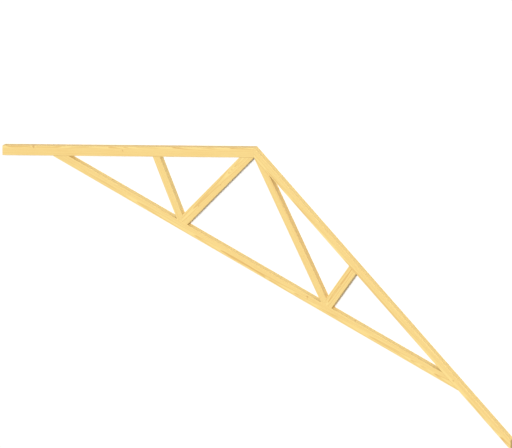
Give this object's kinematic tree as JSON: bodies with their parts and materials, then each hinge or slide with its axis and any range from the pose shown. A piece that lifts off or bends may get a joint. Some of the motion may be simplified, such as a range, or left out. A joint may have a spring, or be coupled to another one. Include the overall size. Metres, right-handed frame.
{
  "type": "roof truss",
  "caption": "Symmetrical pitched timber roof truss with sloping top chords running past the eaves, a level bottom chord and W webs.",
  "frame": {"origin": "centre of the bounding box's underside, on the truss's centre line, with the truss lying on its back face", "axes": "+X along the span to the right, +Y up the rise to the ridge, +Z through the thickness, out of the front face"},
  "size_m": [5.96, 1.5523, 0.038],
  "materials": {
    "timber": "planed, bare"
  },
  "bodies": {
    "root": {"bottom_chord": "timber", "left_top_chord": "timber", "right_top_chord": "timber", "left_long_web": "timber", "right_long_web": "timber", "left_short_web": "timber", "right_short_web": "timber"}
  },
  "joints": []
}
